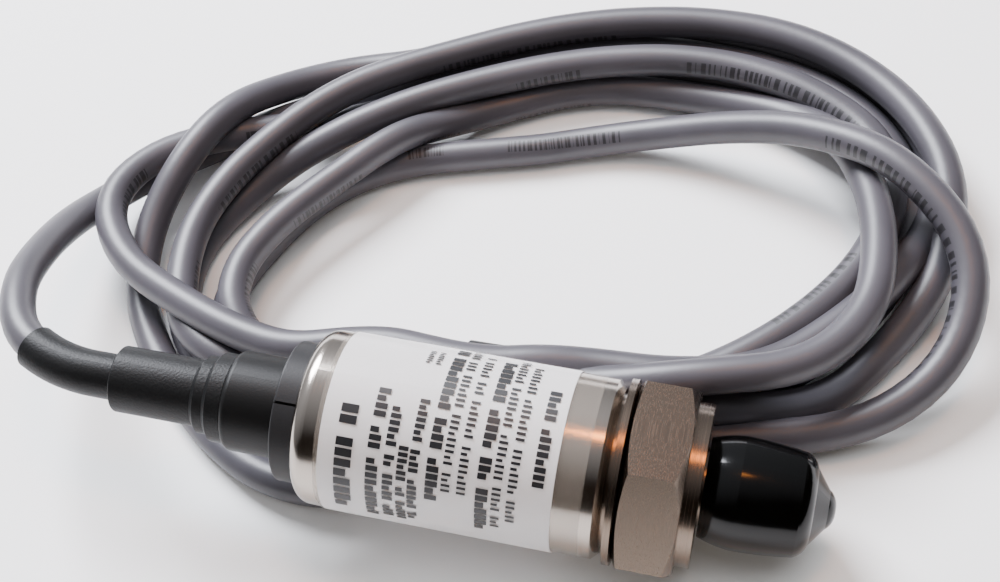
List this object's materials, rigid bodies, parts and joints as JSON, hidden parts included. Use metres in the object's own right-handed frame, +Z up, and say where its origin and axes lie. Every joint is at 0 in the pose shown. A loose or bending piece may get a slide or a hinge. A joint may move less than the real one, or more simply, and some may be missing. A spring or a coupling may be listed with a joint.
{
  "type": "pressure transmitter",
  "caption": "Stainless pressure transmitter: round labelled housing, hexagon and flare nipple under a black dust cap, and a grey moulded-in cable lying in a loose coil behind it.",
  "frame": {"origin": "on the ground below the middle of the transmitter, measured from the sleeve's mouth to the dust cap's tip", "axes": "+Z up, +X along the transmitter's ground line from cable to dust cap, +Y towards the coil; the transmitter's own axis leans 7.8 degrees nose down"},
  "size_m": [0.134, 0.0938, 0.028],
  "materials": {
    "machined_steel": "turned, satin",
    "polished_steel": "polished stainless",
    "label_white": "satin printed",
    "clear_film": "clear gloss",
    "black_rubber": "satin black",
    "shrink_sleeve": "matte, fine orange peel",
    "cable_jacket": "grey satin",
    "clamp_brass": "plain",
    "carrier_plastic": "moulded natural",
    "circuit_board": "green solder mask",
    "chip_black": "moulded black",
    "capacitor_body": "matte tan",
    "wire_red": "insulation red",
    "wire_black": "insulation black",
    "sensor_steel": "turned",
    "pin_gold": "gold plated",
    "spring_steel": "dark spring steel",
    "seal_rubber": "matte black",
    "cap_plastic": "gloss black",
    "drain_tin": "tinned copper"
  },
  "bodies": {
    "transmitter": {"port_fitting": "machined_steel", "housing": "polished_steel", "label": "label_white", "label_film": "clear_film", "grommet": "black_rubber", "outer_sleeve": "shrink_sleeve", "inner_sleeve": "shrink_sleeve", "cable_entry": "cable_jacket", "cable_clamp": "clamp_brass", "board_carrier": "carrier_plastic", "main_board": "circuit_board", "interface_board": "circuit_board", "signal_chip": "chip_black", "current_regulator": "chip_black", "filter_capacitors": "capacitor_body", "board_lead_red": "wire_red", "board_lead_black": "wire_black", "sensor_capsule": "sensor_steel", "sensor_pins": "pin_gold", "retaining_ring": "spring_steel", "sensor_o_ring": "seal_rubber", "body_o_ring": "seal_rubber", "cable_lead": "cable_jacket", "cable_coil": "cable_jacket", "cable_tail": "cable_jacket", "tail_sleeve": "shrink_sleeve", "tail_lead_red": "wire_red", "tail_lead_black": "wire_black", "tail_drain_wire": "drain_tin"},
    "cap": {"dust_cap": "cap_plastic"}
  },
  "joints": [
    {"name": "dust_cap_pull", "type": "slide", "parent": "transmitter", "child": "cap", "axis": [0.9907, 0, -0.1357], "range_m": [0, 0.014]}
  ]
}
